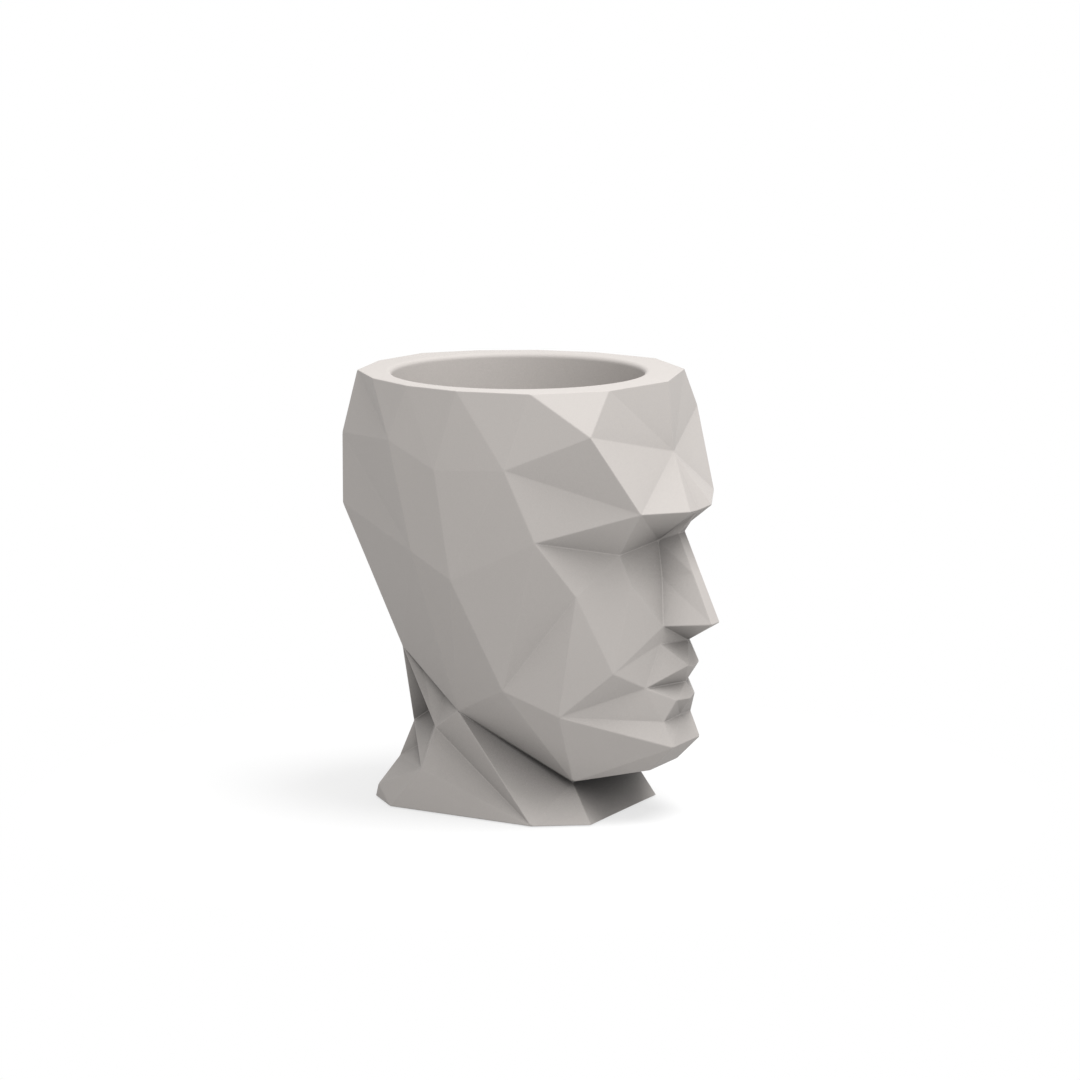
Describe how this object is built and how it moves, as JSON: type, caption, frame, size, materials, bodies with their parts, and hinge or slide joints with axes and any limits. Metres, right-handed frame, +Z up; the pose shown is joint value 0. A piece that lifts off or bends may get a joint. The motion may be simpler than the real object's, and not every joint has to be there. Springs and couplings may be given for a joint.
{
  "type": "planter pot",
  "caption": "Faceted low-poly human head planter pot with a flat rim, round mouth, double-walled hollow shell, rubber feet and a screw-in drain plug.",
  "frame": {"origin": "on the ground under the middle of the part's box; the pot's own axis stands 17.5 mm behind it, at y = +0.0175 m", "axes": "+Z up along the pot's axis, the face looks along -Y, +X is the head's left"},
  "size_m": [0.3, 0.385, 0.42],
  "materials": {
    "shell": "fine matt moulded grain, warm light grey",
    "bush": "plain moulded, mid grey",
    "plug": "plain moulded, dark grey",
    "rubber": "matt black"
  },
  "bodies": {
    "pot": {"head_shell": "shell", "drain_bush": "bush", "foot_pad_front_left": "rubber", "foot_pad_front_right": "rubber", "foot_pad_back_left": "rubber", "foot_pad_back_right": "rubber"},
    "seal_ring": {"plug_seal": "rubber"},
    "screw_plug": {"drain_plug": "plug"}
  },
  "joints": [
    {"name": "plug_rise", "type": "slide", "parent": "pot", "child": "seal_ring", "axis": [0, 0, 1], "range_m": [0, 0.012]},
    {"name": "plug_turn", "type": "hinge", "parent": "seal_ring", "child": "screw_plug", "pos_m": [0, 0.0175, 0.122], "axis": [0, 0, 1], "range_deg": [0, 1080]}
  ],
  "couplings": [
    {"joint": "plug_rise", "follows": "plug_turn", "m_per_rad": 0.0006366}
  ]
}
